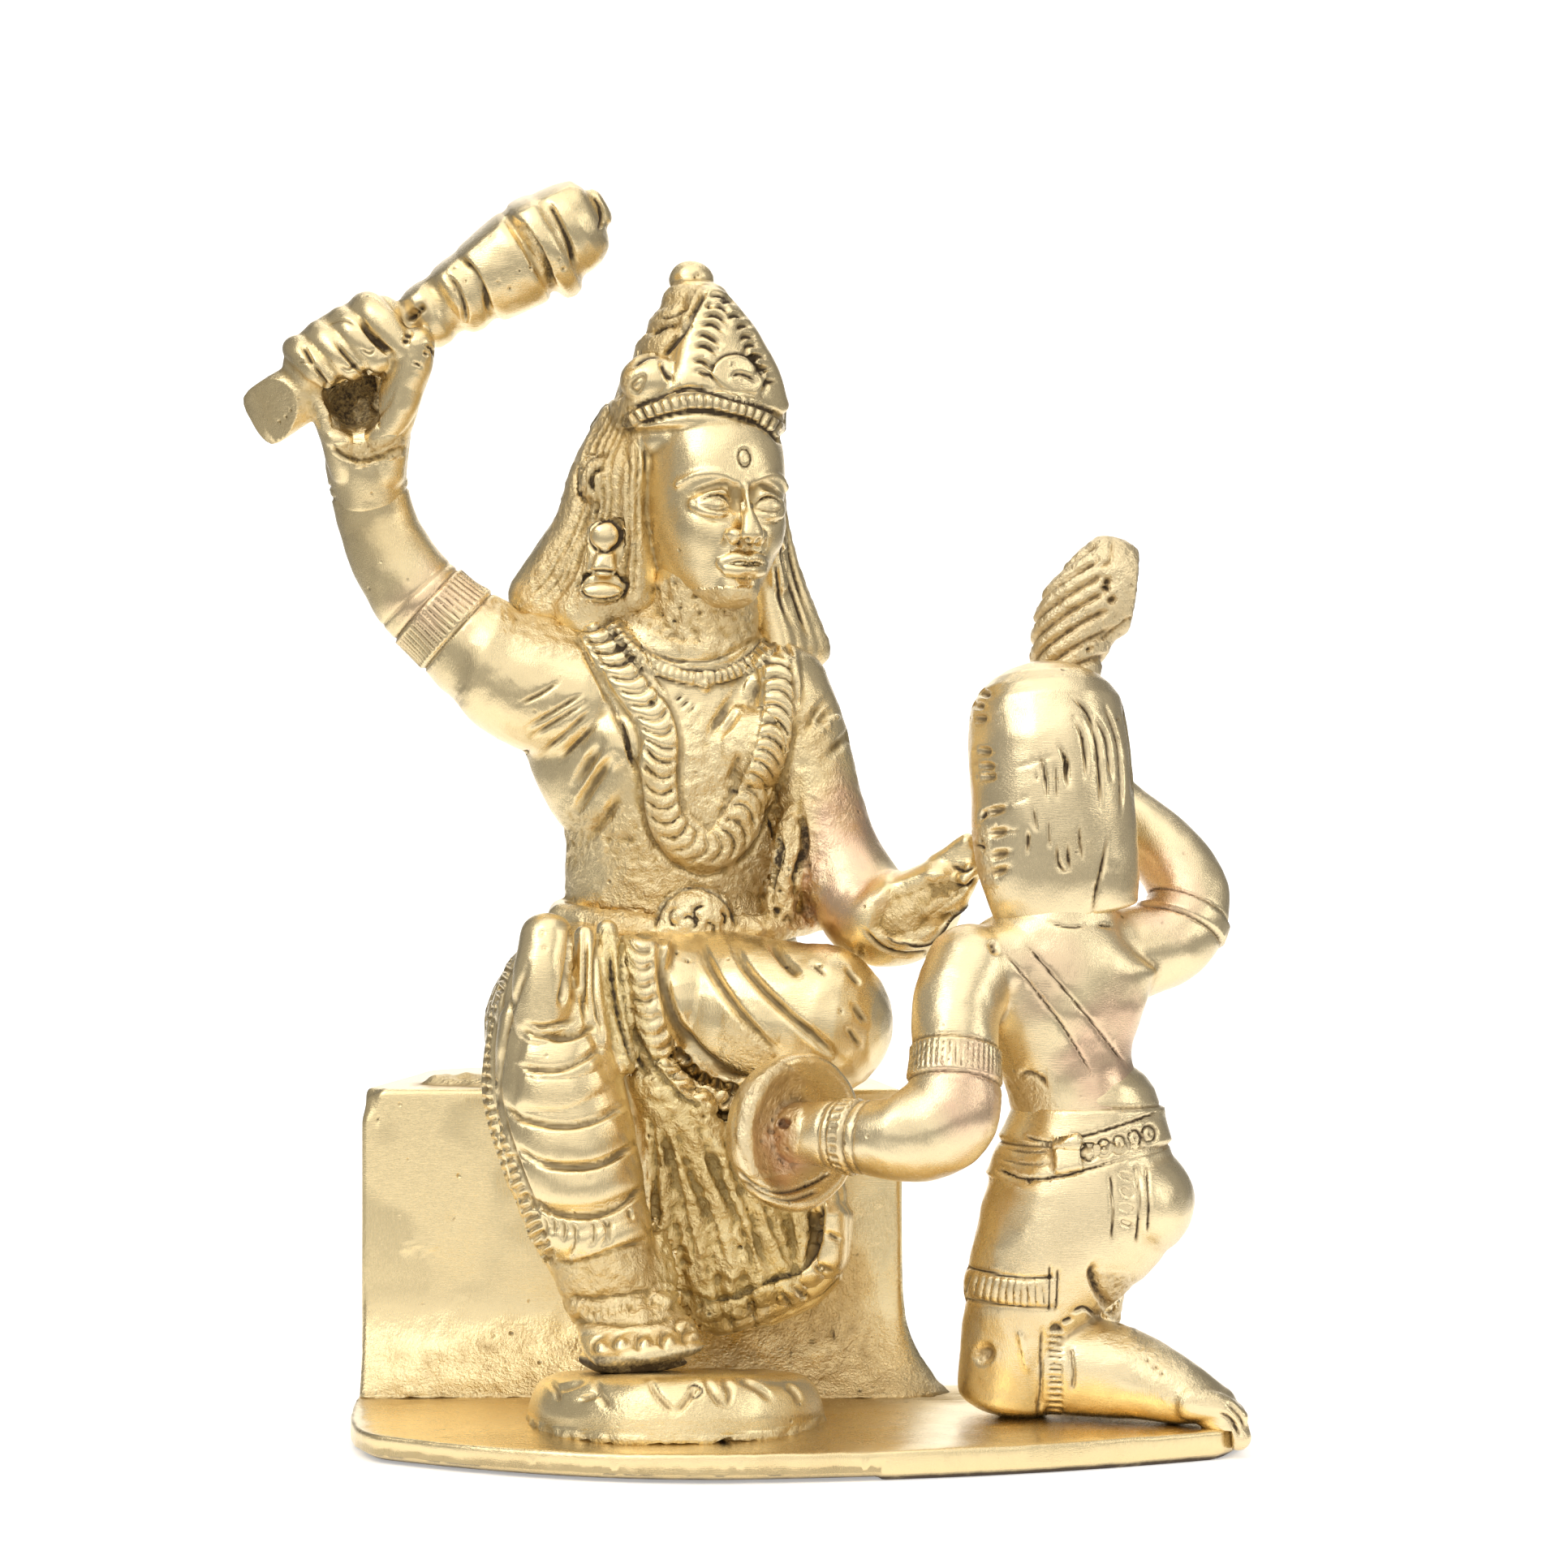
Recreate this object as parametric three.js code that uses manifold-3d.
// A small cast brass shrine group in three castings: a base with a box seat and a round
// footrest, a seated goddess with a raised club, and a kneeling demon with a round shield.
// X runs to the right, Y runs away from the viewer, Z runs up. All lengths are millimetres.
import * as THREE from 'three';
import { mergeVertices } from 'three/addons/utils/BufferGeometryUtils.js';
import Module from 'manifold-3d';

const wasm = await Module();
wasm.setup();
const { Manifold } = wasm;

// Driving sizes
const GAP = 0.3;
const PLATE_THICK = 3;
const SEAT_TOP = 36;
const SEAT_LEFT = -46.5;
const SEAT_RIGHT = 13;
const SEAT_DEPTH = 32;
const SEAT_CORNER = 9;
const SEAT_TAPER = 4;
const WALL = 3.5;
const FILLET = 6.5;
const REST = { x: -11.4, y: -18.5, radius: 14.6, height: 4.9, lean: 0.14 };
const CLUB = { butt: [-58.6, 0, 109.4], tip: [-20.2, 0, 133.1] };
const HEAD = { x: -8.6, y: 5, z: 100.6, wide: 9.2, deep: 10, tall: 12.4, turn: 0.45 };
const CROWN = { x: -9.8, y: 6.5, foot: 108.6, top: 126 };
const BULL = { x: 28.6, y: -15.5, z: 70.5, wide: 7.8, deep: 8.2, tall: 11 };
const SHIELD = { x: 0, y: -20.5, z: 33.4, radius: 8.2, turn: 0.72 };

// Solids and joins
function toSolid(geometry) {
  const bare = geometry.toNonIndexed ? geometry.clone() : geometry;
  for (const name of ['normal', 'uv', 'uv1', 'color']) bare.deleteAttribute(name);
  const welded = mergeVertices(bare, 1e-4);
  const mesh = new wasm.Mesh({
    numProp: 3,
    vertProperties: new Float32Array(welded.attributes.position.array),
    triVerts: new Uint32Array(welded.index.array),
  });
  mesh.merge();
  return new Manifold(mesh);
}

function toMesh(solid, name, material) {
  const part = solid.getMesh();
  const geometry = new THREE.BufferGeometry();
  geometry.setAttribute('position', new THREE.BufferAttribute(part.vertProperties, 3));
  geometry.setIndex(new THREE.BufferAttribute(part.triVerts, 1));
  geometry.computeVertexNormals();
  const mesh = new THREE.Mesh(geometry, material);
  mesh.name = name;
  return mesh;
}

const join = (solids) => Manifold.union(solids);
const mix = THREE.MathUtils.lerp;

// The main body of a join, with facets smaller than the finish allows merged away
function biggest(solid, finish = 0.1) {
  const pieces = solid.decompose().sort((a, b) => b.volume() - a.volume());
  const smooth = pieces[0].asOriginal().simplify(finish).decompose();
  return smooth.sort((a, b) => b.volume() - a.volume())[0];
}

// A limb: stations [x, y, z, half width, half depth] joined by a smooth curve, with round
// ends. The half width is measured along the side direction, and a wave can ring the limb.
function limb(stations, options = {}) {
  const { side = [1, 0, 0], around = 8, along = 2 * stations.length - 2 } = options;
  const { from = 0, to = 1, raise = 0, cap = 1, capRings = around > 9 ? 2 : 1, wave = () => 0 } = options;
  const curve = new THREE.CatmullRomCurve3(stations.map((s) => new THREE.Vector3(s[0], s[1], s[2])));
  const sizeAt = (t) => {
    const place = Math.min(Math.max(t, 0), 1) * (stations.length - 1);
    const i = Math.min(Math.floor(place), stations.length - 2);
    const f = place - i;
    const [a, b] = [stations[i], stations[i + 1]];
    const extra = raise + wave(t);
    return [mix(a[3], b[3], f) + extra, mix(a[4] ?? a[3], b[4] ?? b[3], f) + extra];
  };
  const shape = new THREE.CapsuleGeometry(1, 1, capRings, around, along);
  const points = shape.attributes.position;
  const out = new THREE.Vector3();
  const across = new THREE.Vector3();
  const other = new THREE.Vector3();
  for (let i = 0; i < points.count; i += 1) {
    const y = points.getY(i);
    const t = mix(from, to, THREE.MathUtils.clamp(y + 0.5, 0, 1));
    const beyond = Math.max(Math.abs(y) - 0.5, 0) * Math.sign(y) * cap;
    const tangent = curve.getTangent(t);
    across.set(...side).addScaledVector(tangent, -tangent.dot(across.set(...side))).normalize();
    other.crossVectors(across, tangent);
    const [wide, deep] = sizeAt(t);
    out.copy(curve.getPoint(t));
    out.addScaledVector(across, points.getX(i) * wide);
    out.addScaledVector(other, points.getZ(i) * deep);
    out.addScaledVector(tangent, beyond * Math.min(wide, deep));
    points.setXYZ(i, out.x, out.y, out.z);
  }
  return toSolid(shape);
}

function ball(x, y, z, rx, ry = rx, rz = rx, detail = 8) {
  const shape = new THREE.SphereGeometry(1, detail, Math.ceil(detail * 0.6));
  shape.rotateX(Math.PI / 2);
  shape.scale(rx, ry, rz);
  shape.translate(x, y, z);
  return toSolid(shape);
}

// A turned form: profile pairs [radius, height] along an axis from one point to another
function turned(profile, start, end, sides = 16) {
  const axis = new THREE.Vector3(...end).sub(new THREE.Vector3(...start)).normalize();
  const shape = new THREE.LatheGeometry(profile.map(([r, h]) => new THREE.Vector2(r, h)), sides);
  shape.applyQuaternion(new THREE.Quaternion().setFromUnitVectors(new THREE.Vector3(0, 1, 0), axis));
  shape.translate(...start);
  return toSolid(shape);
}

// A flat outline in X and Z, pushed through from one Y to another
function slab(outline, yFront, yBack) {
  const shape = new THREE.Shape(outline.map(([x, z]) => new THREE.Vector2(x, z)));
  const solid = new THREE.ExtrudeGeometry(shape, { depth: yBack - yFront, bevelEnabled: false });
  solid.rotateX(Math.PI / 2);
  solid.translate(0, yBack, 0);
  return toSolid(solid);
}

function upright(shape, z, height) {
  const solid = new THREE.ExtrudeGeometry(shape, { depth: height, bevelEnabled: false, curveSegments: 6 });
  solid.translate(0, 0, z);
  return toSolid(solid);
}

// Base: plate, box seat, fillet and footrest
function plateOutline() {
  const shape = new THREE.Shape();
  shape.moveTo(SEAT_LEFT, 0);
  shape.bezierCurveTo(-46, -12, -46, -26, -41, -28.5);
  shape.bezierCurveTo(-26, -37.5, -16, -39.5, -6, -39.5);
  shape.bezierCurveTo(8, -38.5, 24, -36, 45, -26);
  shape.bezierCurveTo(51, -20, 50, 2, 42, 3);
  shape.lineTo(SEAT_RIGHT - 1, 3);
  shape.lineTo(SEAT_RIGHT - 3, SEAT_DEPTH - 4);
  shape.lineTo(SEAT_LEFT + 4, SEAT_DEPTH - 4);
  shape.closePath();
  return shape;
}

// The seat in plan: straight front, sides drawn in towards a round-cornered back
function seatOutline(grow) {
  const left = SEAT_LEFT - grow;
  const right = SEAT_RIGHT + grow;
  const back = SEAT_DEPTH + grow;
  const corner = SEAT_CORNER + grow;
  const shape = new THREE.Shape();
  shape.moveTo(left, -grow);
  shape.lineTo(right, -grow);
  shape.lineTo(right - SEAT_TAPER, back - corner);
  shape.quadraticCurveTo(right - SEAT_TAPER, back, right - SEAT_TAPER - corner, back);
  shape.lineTo(left + SEAT_TAPER + corner, back);
  shape.quadraticCurveTo(left + SEAT_TAPER, back, left + SEAT_TAPER, back - corner);
  shape.closePath();
  return shape;
}

function seatFillet() {
  const steps = 4;
  const layers = [];
  for (let i = 0; i <= steps; i += 1) {
    const turn = (i / steps) * (Math.PI / 2);
    const grow = (1 - Math.sin(turn)) * (FILLET - 1);
    const height = PLATE_THICK + (1 - Math.cos(turn)) * (FILLET + 1.5);
    layers.push(upright(seatOutline(grow), height - 0.5, 0.02));
  }
  const steps2 = layers.slice(1).map((upper, i) => Manifold.hull([layers[i], upper]));
  return join(steps2).intersect(upright(plateOutline(), 0, 20));
}

function footrest() {
  const { x, y, radius, height, lean } = REST;
  const profile = [[0, -3], [radius, -3]];
  for (let i = 0; i <= 5; i += 1) {
    const turn = (i / 5) * (Math.PI * 0.5);
    profile.push([radius - 2.8 + 2.8 * Math.cos(turn), (height - 0.4) * Math.sin(turn)]);
  }
  profile.push([radius * 0.5, height - 0.1]);
  profile.push([0, height]);
  const disc = turned(profile, [x, y, PLATE_THICK - 0.2], [x, y + lean, PLATE_THICK + 0.8], 28);
  return disc.trimByPlane([0, 0, 1], PLATE_THICK - 1);
}

function petalCuts() {
  const cuts = [];
  const count = 14;
  for (let i = 0; i < count; i += 1) {
    const angle = (i / count) * Math.PI * 2;
    const reach = REST.radius + 0.2;
    const x = REST.x + Math.cos(angle) * reach;
    const y = REST.y + Math.sin(angle) * reach;
    const rise = PLATE_THICK - Math.sin(angle) * REST.lean * reach;
    const inner = [x - 1.6 * Math.cos(angle), y - 1.6 * Math.sin(angle), rise + 3.6, 0.45];
    cuts.push(limb([[x, y, rise + 1, 0.45], inner], { around: 4, along: 1, capRings: 1 }));
  }
  return cuts;
}

function base() {
  const seat = upright(seatOutline(0), 0, SEAT_TOP);
  const worn = ball(SEAT_LEFT - 1.2, -1.2, SEAT_TOP + 1.2, 3.2, 3.2, 3.2, 8);
  const hollow = upright(seatOutline(-WALL), -1, SEAT_TOP - WALL + 1);
  const ridge = limb([[-36, 6, SEAT_TOP, 1, 1.2], [-32, 5, SEAT_TOP, 2, 1.6], [-27, 6, SEAT_TOP, 2, 1.4]]);
  const whole = join([upright(plateOutline(), 0, PLATE_THICK), seat, seatFillet(), footrest()]);
  return biggest(whole.subtract(join([hollow, worn, ...petalCuts()])).add(ridge.trimByPlane([0, 0, 1], SEAT_TOP - 1)));
}

// Goddess: body
const TORSO = [
  [-12, 11, 44, 14, 11],
  [-11.5, 10.5, 51, 13, 10],
  [-12.6, 9, 57.5, 12, 8],
  [-11.9, 8.5, 65, 13, 8.4],
  [-12.6, 8.5, 73, 16, 9],
  [-12.6, 8, 79, 17.5, 8],
  [-10.5, 7.5, 84.5, 11, 6.5],
];

function chestFront(x, z) {
  let i = 0;
  while (i < TORSO.length - 2 && TORSO[i + 1][2] < z) i += 1;
  const f = THREE.MathUtils.clamp((z - TORSO[i][2]) / (TORSO[i + 1][2] - TORSO[i][2]), 0, 1);
  const [cx, cy, , rx, ry] = TORSO[i].map((value, k) => mix(value, TORSO[i + 1][k], f));
  return cy - ry * Math.sqrt(Math.max(1 - ((x - cx) / rx) ** 2, 0.05));
}

const RIGHT_ARM = [
  [-23, 7.5, 79.5, 8.5, 7.5],
  [-31, 6.5, 82.5, 7.4, 6.6],
  [-37.2, 6, 87.3, 5.6, 5.4],
  [-42.3, 5.5, 92.5, 5, 4.8],
  [-45.3, 5, 98.5, 4.3, 4.2],
  [-46.5, 3.5, 105.5, 4.3, 4],
];
const LEFT_ARM = [
  [-1, 6.5, 79.6, 6.2, 5.6],
  [2, 5.5, 74, 5, 4.8],
  [4, 4.5, 67.5, 4.6, 4.6],
  [6.4, 2.6, 60.6, 4.8, 4.6],
  [9.8, -0.6, 55.2, 5.6, 5.2],
  [14, -3.2, 55.4, 5, 5],
  [17.4, -5.2, 58.6, 3.4, 3.2],
];
const SHIN = [
  [-24.4, -13.2, 43.5, 6.2, 6],
  [-24, -14.4, 38.4, 6.9, 6],
  [-22.8, -15.2, 32.5, 7.2, 5.8],
  [-21.2, -15.8, 26, 6.8, 5.4],
  [-19, -16, 20, 5.2, 4.6],
  [-17.6, -15.6, 15, 4, 4],
];
const THIGH = [
  [-14, 5, 45.6, 9, 9],
  [-6, -3.5, 45, 8.5, 8.4],
  [4, -7.5, 44.2, 8, 7.6],
];

function body() {
  const seatFlesh = ball(-13, 11, 45, 15, 12, 10, 13);
  const rightThigh = limb([[-20, 8, 45, 8.5, 9], [-23, -3, 46, 8, 8.4], [-24.8, -10, 47, 6.6, 7.4]]);
  const leftThigh = limb(THIGH, { side: [0, 0, 1], around: 13, along: 5, capRings: 3 });
  const lap = ball(-13, -3, 46, 10, 9, 7.5, 11);
  const neck = limb([[-9.6, 7.5, 83, 6.4], [-9.2, 6, 88, 4.8], [-8.8, 5, 93, 5]], { around: 9, along: 2 });
  const breasts = [ball(-17.5, 2.6, 74, 5.6, 4, 5), ball(-5, 2.6, 74, 5.6, 4, 5)];
  return [
    limb(TORSO, { around: 14, along: 8 }), seatFlesh, rightThigh, leftThigh, lap, neck, ...breasts,
    limb(RIGHT_ARM, { around: 10, along: 8, side: [0.8, 0, -0.6] }),
    limb(LEFT_ARM, { around: 9, along: 8 }),
  ];
}

// Goddess: head, crown and hair
function head() {
  const { x, y, z, wide, deep, tall, turn } = HEAD;
  const toFace = [Math.sin(turn), -Math.cos(turn)];
  const toSide = [Math.cos(turn), Math.sin(turn)];
  const at = (across, out, up) => [x + toSide[0] * across + toFace[0] * out, y + toSide[1] * across + toFace[1] * out, z + up];
  const skull = new THREE.SphereGeometry(1, 14, 10);
  skull.rotateX(Math.PI / 2);
  skull.scale(wide, deep, tall);
  skull.rotateZ(turn);
  skull.translate(x, y, z);
  const jaw = ball(...at(0, 3.4, -6.4), 5.6, 5.4, 5, 9);
  const nose = limb([[...at(0, 9.3, 2.4), 1], [...at(0, 11, -1.6), 1.3]], { around: 6, along: 2 });
  const ears = [-1, 1].map((way) => ball(...at(way * 9.2, -0.5, 0.5), 1.5, 2.2, 3.6, 6));
  const studs = [-1, 1].map((way) => ball(...at(way * 9.4, 1, -6), 1.7, 1.7, 1.7, 6));
  const drops = [-1, 1].map((way) => limb([[...at(way * 9.6, 1.2, -7.6), 0.9, 0.8], [...at(way * 9.9, 1.6, -11.6), 2, 1.1]], { around: 6, along: 1 }));
  return [toSolid(skull), jaw, nose, ...ears, ...studs, ...drops];
}

function crown() {
  const { x, y, foot, top } = CROWN;
  const tall = top - foot;
  const dome = [[0, 0], [9.8, 0], [10.1, 1], [10.1, 2.8], [9.3, 3.4], [8.4, tall * 0.34]];
  dome.push([7.4, tall * 0.45], [6.4, tall * 0.56], [5.6, tall * 0.68], [4.2, tall * 0.8], [3.4, tall * 0.88]);
  dome.push([2.4, tall * 0.95], [0, tall * 0.97]);
  const cone = turned(dome, [x, y, foot], [x, y, foot + 1], 14);
  const knob = ball(x - 0.7, y + 1, top + 0.2, 2.3, 2.3, 2, 10);
  const turn = HEAD.turn;
  const out = (reach, across) => [x + Math.sin(turn) * reach + across, y - Math.cos(turn) * reach];
  const plate = limb([
    [...out(7, 0.6), foot + 2.5, 6.6, 2.6], [...out(6.4, 0.8), foot + 7, 6.2, 2.8],
    [...out(4.8, 0.5), foot + 12, 4, 2.6], [...out(3.2, 0), foot + 15.4, 1.6, 1.6],
  ], { side: [Math.cos(turn), Math.sin(turn), 0], around: 8, along: 4 });
  const lobe = ball(x - 6.6, y - 2, foot + 6.6, 2.6, 3, 3, 8);
  return [cone, knob, plate, lobe, ...crownTicks(), ...crownScales()];
}

function crownTicks() {
  const ticks = [];
  const count = 14;
  for (let i = 0; i < count; i += 1) {
    const angle = (i / count) * Math.PI * 2;
    const x = CROWN.x + Math.cos(angle) * 10;
    const y = CROWN.y + Math.sin(angle) * 10;
    ticks.push(ball(x, y, CROWN.foot + 1.8, 1, 1, 1.2, 5));
  }
  return ticks;
}

// Overlapping petals on the crown's front plate, in rows that narrow towards the top
function crownScales() {
  const scales = [];
  const turn = HEAD.turn;
  for (let row = 0; row < 4; row += 1) {
    const count = 4 - row;
    for (let i = 0; i < count; i += 1) {
      const across = (i - (count - 1) / 2) * 2.7;
      const out = 8.9 - row * 1.1 - Math.abs(across) * 0.28;
      const x = CROWN.x + 0.6 + Math.cos(turn) * across + Math.sin(turn) * out;
      const y = CROWN.y + Math.sin(turn) * across - Math.cos(turn) * out;
      scales.push(ball(x, y, CROWN.foot + 5 + row * 2.6, 1.5, 1.2, 1.8, 6));
    }
  }
  return scales;
}

function hair() {
  const back = limb([[-10, 12, 107, 9.5, 5], [-10.5, 14.5, 96, 11, 5.5], [-11.5, 15.5, 84, 12, 5], [-12, 16, 72, 8.5, 3.4]], { around: 11, along: 5 });
  const locks = [back];
  for (let i = 0; i < 3; i += 1) {
    const spread = i * 2.7;
    locks.push(limb([
      [-18.5 - spread * 0.4, 9.5 + i, 107, 2.2],
      [-20.4 - spread * 0.5, 9.5 + i, 99, 2.4],
      [-21.6 - spread * 0.8, 9 + i, 93.5, 2.3],
      [-22.5 - spread * 1.35, 8 + i, 88.5, 1.9],
    ], { around: 5, along: 3 }));
    locks.push(limb([
      [-3.6 + spread * 0.1, 10.5 + i * 1.4, 106, 2.2],
      [-3.6 + spread * 0.2, 10 + i * 1.3, 98, 2.3],
      [-2.4 + spread * 0.35, 8.8 + i * 1.2, 91, 2.1],
      [-1 + spread * 0.5, 7.2 + i * 1.2, 84.5, 1.8],
    ], { around: 5, along: 3 }));
  }
  for (let i = 0; i < 5; i += 1) {
    const x = -18.5 + i * 4;
    locks.push(limb([[x + 1, 17.5, 104, 1.5], [x, 19.6, 92, 1.6], [x - 0.8, 20.2, 82, 1.5], [mix(x, -11.5, 0.35), 19, 72, 1.2]], { around: 5, along: 3 }));
  }
  return locks;
}

// Goddess: ornaments
function onChest(points, sink) {
  return points.map(([x, z, r]) => [x, chestFront(x, z) - r + sink, z, r]);
}

function garland() {
  const line = [
    [-21.5, 88, 2], [-19, 82, 2.1], [-15.6, 76.5, 2.1], [-13.7, 70, 2.1], [-12.4, 64.5, 2.1],
    [-8.4, 61.6, 2.2], [-5.2, 65, 2.1], [-3, 71, 2.1], [-1.4, 78, 2], [-0.6, 85, 2],
  ];
  const beads = 20;
  const wave = (t) => (Math.round(t * beads * 2) % 2 ? 0.3 : -0.2);
  return [limb(onChest(line, 1.1), { around: 6, along: beads * 2, wave })];
}

function choker() {
  const line = [[-17.5, 86.5, 1.1], [-15, 83, 1.1], [-11, 80.8, 1.1], [-7, 81, 1.1], [-2.5, 84.8, 1.1]];
  const pendant = ball(-9, chestFront(-9, 79.6) - 0.6, 79.4, 1.2, 1, 1.2, 7);
  return [limb(onChest(line, 0.6), { around: 5, along: 8 }), pendant];
}

function cuffs() {
  const cuff = (path, from, to, options) => limb(path, { from, to, raise: 0.7, cap: 0.2, along: 1, capRings: 1, around: 10, ...options });
  const bands = [cuff(RIGHT_ARM, 0.36, 0.45, { side: [0.8, 0, -0.6] }), cuff(RIGHT_ARM, 0.93, 0.97, { side: [0.8, 0, -0.6] })];
  bands.push(cuff(LEFT_ARM, 0.3, 0.36, {}), cuff(LEFT_ARM, 0.86, 0.9, {}));
  return bands;
}

function clasp() {
  const belt = limb([[-24.5, 3, 55.4, 1.3], [-19, -0.4, 54.4, 1.4], [-10, -1.6, 53.6, 1.4], [-1, 0, 54, 1.4], [3, 4, 54.6, 1.2]], { around: 5, along: 8 });
  return [belt, ball(-9.8, -2.6, 55.4, 4.4, 3.2, 4.2, 11)];
}

// Goddess: skirt
function shin() {
  const wraps = 6;
  const wave = (t) => 0.7 * Math.sqrt(Math.abs(Math.sin(t * wraps * Math.PI)));
  return limb(SHIN, { around: 12, along: wraps * 3, wave });
}

// Cloth between the shin and the seat's front face, with a toothed outer border
function wing() {
  const left = new THREE.SplineCurve([
    new THREE.Vector2(-27, 52), new THREE.Vector2(-31.5, 45), new THREE.Vector2(-33, 37.5),
    new THREE.Vector2(-31.6, 31), new THREE.Vector2(-28.6, 23.5), new THREE.Vector2(-25, 17),
    new THREE.Vector2(-22.6, 12.5),
  ]);
  const outline = [];
  const teeth = 12;
  for (let i = 0; i <= teeth * 2; i += 1) {
    const point = left.getPoint(i / (teeth * 2));
    outline.push([point.x + (i % 2 ? 0.55 : 0), point.y]);
  }
  outline.push([-15, 12.5], [-13, 30], [-12, 52]);
  return slab(outline.reverse(), -12.5, -GAP);
}

// The skirt's outer side beyond the right hip, which narrows into the wing
function hipCloth() {
  return limb([[-24, 12, 43, 8, 8], [-26, 2, 43, 7.4, 9], [-26.6, -6, 42, 6.6, 9]], { around: 12, along: 3 });
}

function hanging() {
  const outline = [[-16, 42], [6.4, 42], [6.6, 30], [6.6, 15.4], [3.6, 13], [-1.4, 10.6], [-9, 10.4], [-14, 13.4], [-16, 24]];
  const sheet = slab(outline.reverse(), -7.4, -GAP);
  const parts = [sheet];
  const folds = 6;
  for (let i = 0; i < folds; i += 1) {
    const f = i / (folds - 1);
    const foot = mix(-13, 5.4, f);
    const rise = 12.2 + 2.6 * Math.abs(f - 0.35);
    parts.push(limb([
      [mix(-13.4, -4.5, f), -9.6, 38, 1],
      [mix(-13.4, 1.4, f), -8.6, 27, 1.25],
      [foot, -7.4, rise + 2.4, 1.35],
    ], { around: 6, along: 2 }));
  }
  const hem = limb([[-8.6, -7.4, 11.4, 1.3], [-1.4, -7.6, 12, 1.4], [3.6, -7.4, 14.2, 1.4], [5.8, -6.6, 17, 1.2]], { around: 6, along: 4 });
  return [...parts, hem];
}

// Raised sash over the lap with a row of oval gouges
function sash() {
  const path = [
    [-16.6, -6.6, 54, 2.1, 1.6], [-15, -11, 47.5, 2.2, 1.6], [-14.8, -13, 41.8, 2.2, 1.6],
    [-11.4, -13.2, 37.2, 2.2, 1.6], [-7, -12.2, 34.6, 2.1, 1.6], [-3.4, -10.4, 35.8, 1.6, 1.4],
  ];
  const parts = [limb(path, { around: 7, along: 10 })];
  const knot = limb([[-25.2, -17.4, 45.4, 3, 3.2], [-25.4, -17.4, 50, 2.9, 3.2], [-25.2, -16.4, 53.4, 2.5, 2.8]], { around: 9, along: 3 });
  const pleats = [0, 1].map((i) => limb([[-21.4 + i * 2.2, -12.6, 54, 1], [-21 + i * 2.4, -15.2, 49, 1.2], [-20.6 + i * 2.6, -16, 43, 1.1]], { around: 5, along: 3 }));
  return [...parts, knot, ...pleats];
}

// Grooves carved over the left thigh, running down from the belt towards the hem
function thighGrooves() {
  const starts = [-13.4, -8.8, -4.4, -0.4];
  return starts.map((x, i) => {
    const stations = [];
    for (let k = 0; k <= 4; k += 1) {
      const f = k / 4;
      const gx = x + f * (7.6 - i * 0.4) + f * f * 2;
      const gz = 51.4 - f * 11.6 + i * 0.7;
      const cy = mix(-0.5, -7.5, THREE.MathUtils.clamp((gx + 9) / 12, 0, 1));
      const reach = Math.sqrt(Math.max(8.3 ** 2 - (gz - 44.8) ** 2, 1));
      stations.push([gx, cy - reach + 0.1, gz, 0.55, 0.55]);
    }
    return limb(stations, { around: 4, along: 5, capRings: 1 });
  });
}

function foot() {
  const instep = limb([[-17.6, -11.5, 13.4, 4, 3], [-16.4, -17, 13.6, 4.8, 3], [-14.8, -22.5, 12.4, 5.4, 2]], { around: 9, along: 3 });
  const parts = [instep];
  for (let i = 0; i < 5; i += 1) {
    const x = -19.2 + i * 2.5;
    const y = -22.6 - i * 0.9;
    const thick = 1.15 + i * 0.12;
    parts.push(limb([[x + 0.4, y + 3, 12.6, thick], [x, y - 0.6, 12, thick]], { around: 5, along: 1 }));
  }
  const anklets = [0, 1].map((i) => limb([[-17.7, -15.6, 17.4 - i * 2.1, 4.9, 4.7], [-17.6, -15.6, 16.6 - i * 2.1, 4.9, 4.7]], { around: 10, along: 1, cap: 0.2, capRings: 1 }));
  return [...parts, ...anklets];
}

// Goddess: hands and club
function clubAt(along) {
  const start = new THREE.Vector3(...CLUB.butt);
  const end = new THREE.Vector3(...CLUB.tip);
  return start.addScaledVector(end.clone().sub(start).normalize(), along);
}

function club() {
  const profile = [
    [0, 0], [2.6, 0], [3, 0.8], [2.8, 20.5], [3.6, 21.8], [3.6, 23.6], [3.1, 24.6],
    [4.2, 26], [4.3, 28.4], [5.1, 29.4], [5.6, 34.8], [4.8, 35.3], [4.8, 36.1], [6.6, 36.7],
    [6.5, 38.8], [5.3, 39.6], [4.9, 41.8], [3.1, 44], [1.5, 44.4], [1.3, 45.6], [0, 45.9],
  ];
  return turned(profile, CLUB.butt, CLUB.tip, 12);
}

function clubHand() {
  const palm = limb([[-46.6, 2.4, 106, 4.4, 3.6], [-46.8, 3.2, 110, 5.2, 3], [-47, 2.6, 114, 5.6, 3]], { around: 9, along: 3 });
  const parts = [palm];
  for (let i = 0; i < 4; i += 1) {
    const at = clubAt(9 + i * 2.8);
    const lean = i * 0.35;
    parts.push(limb([
      [at.x - 0.8, 3.2, at.z + 3.8 - lean, 1.55],
      [at.x - 1.2, -0.6, at.z + 4.9 - lean, 1.6],
      [at.x + 0.2, -4, at.z + 2, 1.6],
      [at.x + 1.2, -3.8, at.z - 2, 1.45],
    ], { around: 5, along: 3 }));
  }
  const thumb = limb([[-42.4, 0.4, 107.6, 1.9], [-39.8, -1.8, 111.4, 2], [-39.2, -3.4, 115.4, 1.9], [-40.4, -4.4, 118.2, 1.7]], { around: 7, along: 3 });
  return [...parts, thumb];
}

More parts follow.
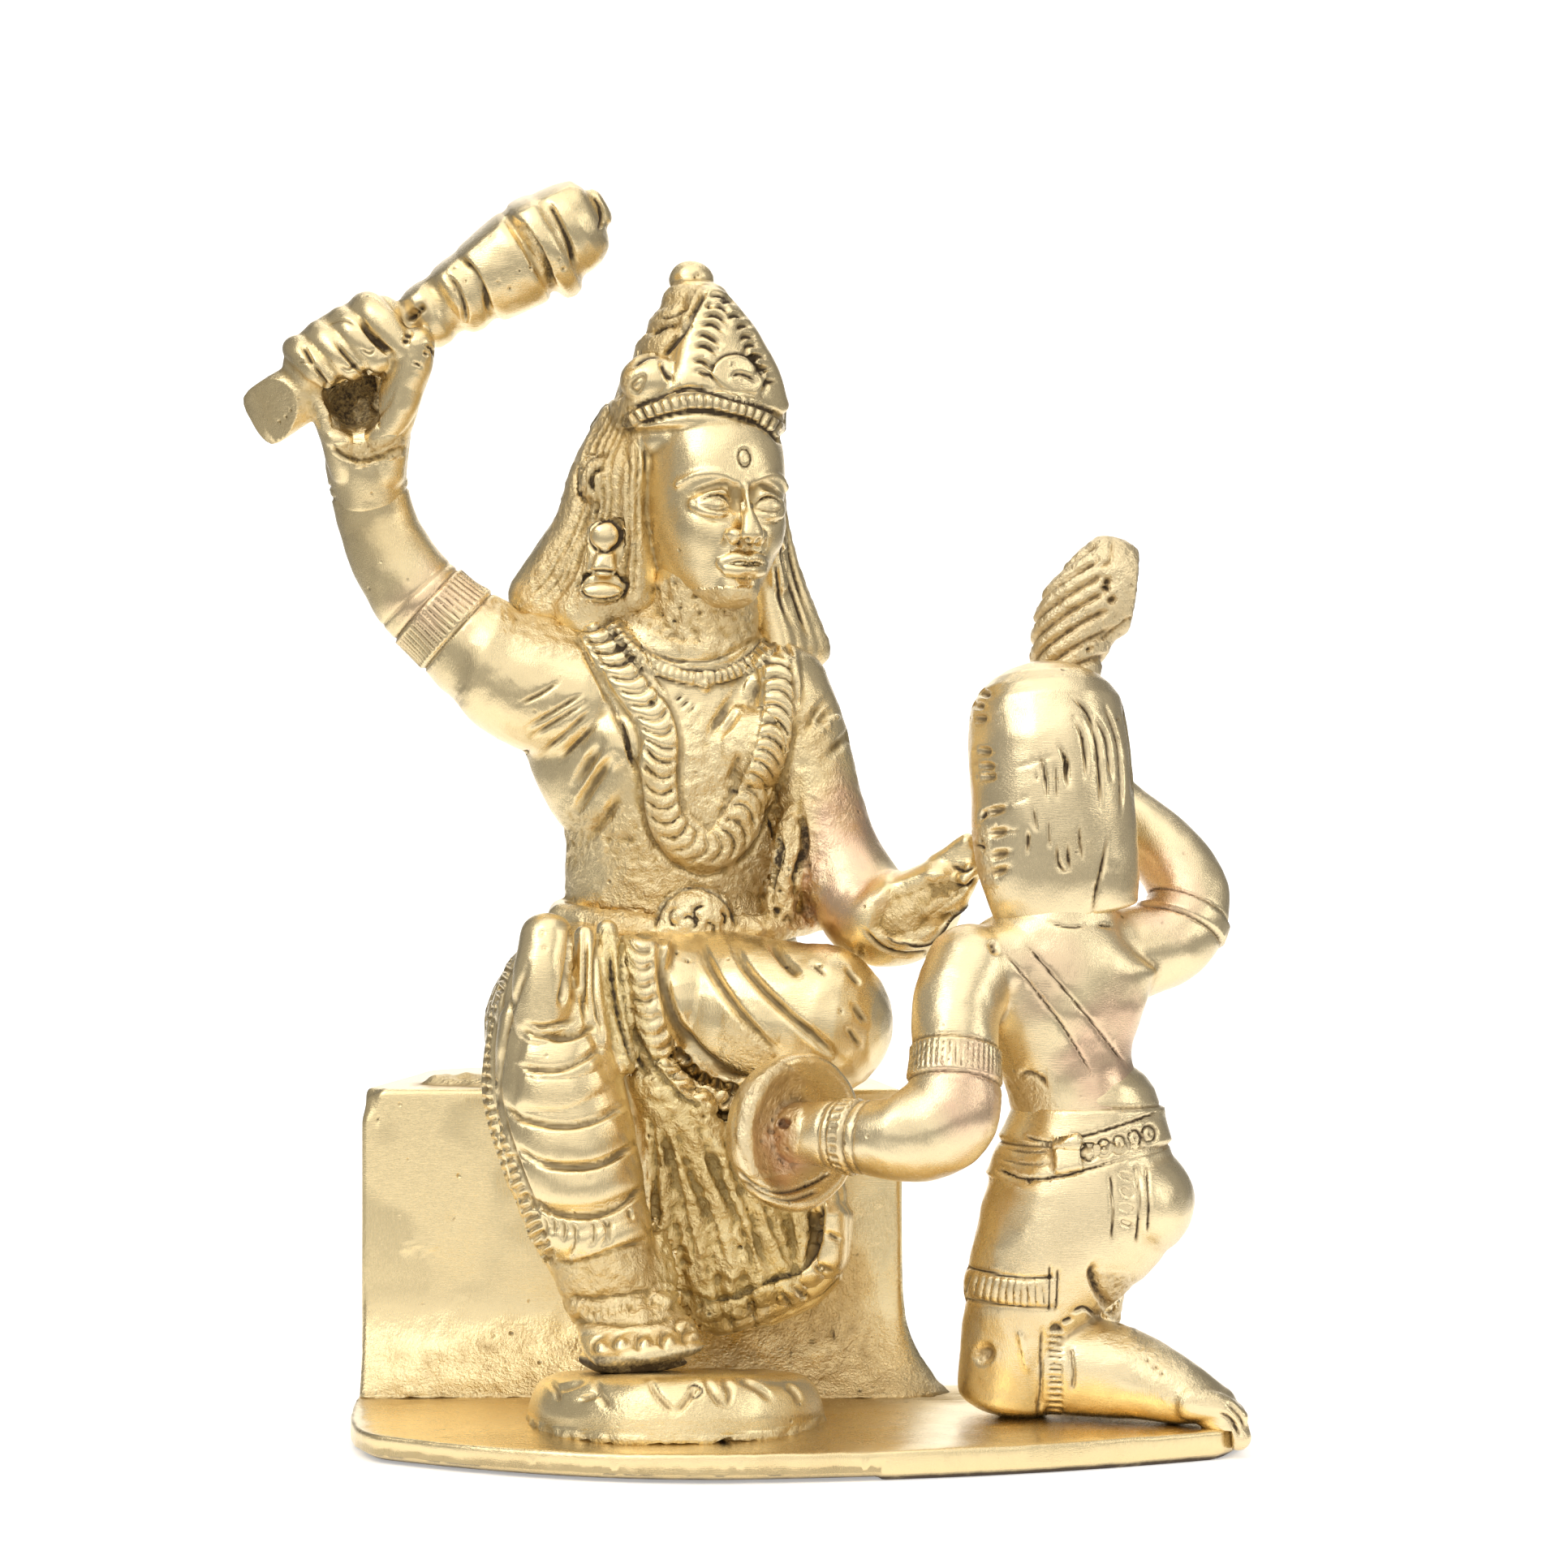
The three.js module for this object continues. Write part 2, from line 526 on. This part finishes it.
function tongueHand() {
  const parts = [];
  for (let i = 0; i < 3; i += 1) {
    parts.push(limb([
      [17.2, -5.2, 58.4 + i * 1.2, 1.7],
      [18.9, -6.2, 60 + i * 1.5, 1.35],
      [20, -7.2, 61.2 + i * 1.1, 1.1],
    ], { around: 5, along: 2 }));
  }
  parts.push(limb([[16.8, -6, 57, 1.8], [19, -7.6, 58.6, 1.4], [20.2, -8.4, 60.4, 1.1]], { around: 5, along: 2 }));
  return parts;
}

function goddess() {
  const skirt = [hipCloth(), wing(), shin(), ...hanging(), ...sash()];
  const adorn = [...garland(), ...choker(), ...cuffs(), ...clasp()];
  const hands = [club(), ...clubHand(), ...tongueHand()];
  const all = join([...body(), ...head(), ...crown(), ...hair(), ...adorn, ...skirt, ...foot(), ...hands]);
  const room = join([seatRoom(), ...thighGrooves()]);
  return biggest(all.subtract(room), 0.5);
}

// The space that the seat fills, with the gap between two touching castings
function seatRoom() {
  const shape = new THREE.Shape();
  shape.moveTo(SEAT_LEFT - 5, -GAP);
  shape.lineTo(SEAT_RIGHT + 5, -GAP);
  shape.lineTo(SEAT_RIGHT + 5, SEAT_DEPTH + 5);
  shape.lineTo(SEAT_LEFT - 5, SEAT_DEPTH + 5);
  shape.closePath();
  return upright(shape, -5, SEAT_TOP + 5 + GAP + 1.4);
}

// Demon
const BACK = [
  [33, -16.5, 26, 9, 8],
  [31.6, -16.8, 33.5, 7.8, 6.6],
  [29.9, -17, 39.5, 6.9, 5.6],
  [28.8, -17.4, 46, 9.6, 6.2],
  [28.4, -17.6, 50.5, 11, 6],
  [29, -17, 55, 6.6, 5.4],
];
const SHIELD_ARM = [
  [19.6, -20.5, 50, 5, 5],
  [17.6, -23.4, 46, 4.6, 4.6],
  [17.6, -26, 40.5, 4.5, 4.4],
  [17.4, -27.4, 35.6, 4.8, 4.4],
  [12.6, -27.2, 33.8, 4.5, 4.2],
  [7.6, -25.2, 33.3, 3.8, 3.6],
  [1.8, -22, 33.4, 3.2, 3.2],
];
const SWORD_ARM = [
  [36.4, -14.6, 51.5, 5, 5],
  [41.4, -13.4, 53.4, 4.6, 4.8],
  [43.4, -11.6, 57.6, 4.2, 4.2],
  [40.6, -9.4, 62.4, 4, 3.8],
  [36, -7.2, 66.6, 3.7, 3.4],
  [32, -5.6, 71, 3.5, 3.3],
];
const KNEELING = [
  [27.6, -17.6, 29, 8.2, 7.6],
  [25.4, -16.8, 20, 6.6, 6.4],
  [23.4, -15.8, 12, 5.3, 5.4],
  [23, -15.6, 8.4, 5, 5],
];
const SOLE = [
  [25, -16.4, 8.6, 4.8, 4.8],
  [31, -18.4, 8.6, 4.4, 4.6],
  [36.6, -20.4, 8.2, 3.8, 4.4],
  [41.6, -22.4, 6.9, 3.6, 3.2],
  [44.6, -23.6, 5.8, 3.2, 2.2],
];
const BLADE = [
  [30.6, -5.2, 72, 3.6, 3.4],
  [30.6, -5, 80, 3.6, 3.4],
  [31.2, -5, 85.4, 4.1, 3.6],
  [33.2, -5, 89.6, 4.6, 3.8],
  [37.8, -5, 91.8, 4.6, 3.6],
];

function demonHead() {
  const { x, y, z, wide, deep, tall } = BULL;
  const skull = ball(x - 0.4, y + 1, z, wide, deep, tall, 13);
  const mane = limb([
    [28.4, -18, 74.6, 8.4, 7], [28.8, -19.4, 68, 8.5, 5.6], [29.6, -20.6, 61, 7.9, 4], [30.2, -21, 57.6, 7.2, 3],
  ], { around: 13, along: 5 });
  const strands = [];
  for (let i = 0; i < 6; i += 1) {
    const f = i / 5;
    strands.push(limb([
      [mix(22.6, 36, f), -22.2 + Math.abs(f - 0.5) * 7, 74, 0.9],
      [mix(22, 37, f), -24.4 + Math.abs(f - 0.5) * 8, 66, 1.1],
      [mix(23.4, 36.4, f), -24 + Math.abs(f - 0.5) * 6, 57, 0.9],
    ], { around: 5, along: 2 }));
  }
  const face = ball(x - 3.4, y + 6.4, z - 3, 4.2, 3.4, 5, 8);
  const tongue = limb([[24, -10, 65, 1.5, 1.1], [22.6, -8.4, 63, 1.5, 1], [22, -8, 61.4, 1.3, 0.9]], { around: 5, along: 2 });
  return [skull, mane, face, tongue, ...strands];
}

function demonBody() {
  const far = limb([[35, -11.5, 26, 6.8, 6.4], [32, -8.6, 16, 5.2, 5], [30, -7, 9, 4.8, 4.8]], { around: 9, along: 3 });
  const farShin = limb([[31, -7.4, 7.8, 4.2], [37, -10, 7, 3.4], [41.6, -12.4, 5.8, 2.4]], { around: 7, along: 3 });
  const seat = ball(35.6, -17.6, 25.4, 6.6, 7, 6.4, 10);
  const neck = limb([[29, -16.5, 52, 5], [28.8, -16, 62, 5]], { around: 8, along: 1 });
  return [
    limb(BACK, { around: 14, along: 7 }), neck, far, farShin, seat,
    limb(SHIELD_ARM, { around: 9, along: 8 }), limb(SWORD_ARM, { around: 9, along: 7 }),
    limb(KNEELING, { around: 11, along: 4 }), limb(SOLE, { around: 9, along: 5, side: [0, 0, 1] }),
    ball(23, -15.6, 8.8, 5.2, 5.2, 5.8, 11),
  ];
}

function demonDress() {
  const ring = (path, from, to, raise, side = [1, 0, 0]) => limb(path, { from, to, raise, side, cap: 0.2, around: 10, along: 1, capRings: 1 });
  const parts = [
    ring(BACK, 0.12, 0.2, 0.9), ring(SHIELD_ARM, 0.24, 0.31, 0.6), ring(SHIELD_ARM, 0.87, 0.92, 0.6),
    ring(SWORD_ARM, 0.22, 0.27, 0.6), ring(KNEELING, 0.62, 0.72, 0.5), ring(SOLE, 0.3, 0.36, 0.4, [0, 0, 1]),
  ];
  const strip = limb([[36, -24.2, 31, 2, 0.8], [36.4, -24.6, 26, 2, 0.8], [36, -23.2, 21.4, 1.8, 0.8]], { around: 5, along: 2 });
  const studs = [];
  for (let i = 0; i < 5; i += 1) {
    studs.push(ball(33.6 + i * 1.5, -24.4 + i * 0.5, 33.4 + i * 0.1, 0.7, 0.7, 0.7, 5));
  }
  const buckle = ball(30.4, -24.8, 32.2, 1.4, 0.8, 1.6, 6);
  return [...parts, strip, buckle, ...studs];
}

function shield() {
  const { x, y, z, radius, turn } = SHIELD;
  const profile = [
    [0, 0], [radius * 0.5, 0.3], [radius * 0.82, 1.4], [radius * 0.94, 3], [radius, 3.4], [radius * 1.02, 2.4],
    [radius * 0.94, 0], [radius * 0.6, -1.6], [0, -2.2],
  ];
  const out = [Math.sin(turn), -Math.cos(turn), 0];
  const start = [x, y, z];
  const bowl = turned(profile.reverse(), start, [x + out[0], y + out[1], z], 16);
  const hole = turned([[0, -4], [0.7, -4], [0.7, 4], [0, 4]], [x + 0.6, y - 0.6, z + 0.8], [x + out[0], y + out[1], z], 8);
  return { bowl, hole };
}

function blade() {
  const core = limb(BLADE, { around: 10, along: 6 }).trimByPlane([-1, 0, 0.1], -29);
  const ribs = [];
  for (let i = 0; i < 6; i += 1) {
    const t = 0.34 + i * 0.085;
    ribs.push(limb(BLADE, { from: t, to: t + 0.03, raise: 0.5, cap: 0.3, around: 10, along: 1, capRings: 1 }));
  }
  return [core, ...ribs];
}

function demonToes() {
  const toes = [];
  for (let i = 0; i < 4; i += 1) {
    const y = -22 - i * 1.35;
    toes.push(limb([[44.6, y, 5.6 - i * 0.1, 1.1], [46.6, y - 0.6, 5, 1.1], [48, y - 0.9, 3.9, 0.95]], { around: 5, along: 2 }));
  }
  return toes;
}

function demon() {
  const { bowl, hole } = shield();
  const all = join([...demonBody(), ...demonHead(), ...demonDress(), ...blade(), ...demonToes(), bowl]);
  const floor = upright(new THREE.Shape([
    new THREE.Vector2(0, -60), new THREE.Vector2(60, -60), new THREE.Vector2(60, 20), new THREE.Vector2(0, 20),
  ]), -10, 10 + PLATE_THICK + GAP);
  return biggest(all.subtract(join([hole, floor])), 0.5);
}

// Finished group
const brass = (color) => new THREE.MeshStandardMaterial({ color, roughness: 0.32, metalness: 1 });
const group = new THREE.Group();
group.add(toMesh(base(), 'base', brass('#c9a355')));
group.add(toMesh(goddess(), 'goddess', brass('#d0ab5c')));
group.add(toMesh(demon(), 'demon', brass('#c8a15a')));
for (const mesh of group.children) {
  console.log(mesh.name, mesh.geometry.index.count / 3, 'triangles');
}

export default group;
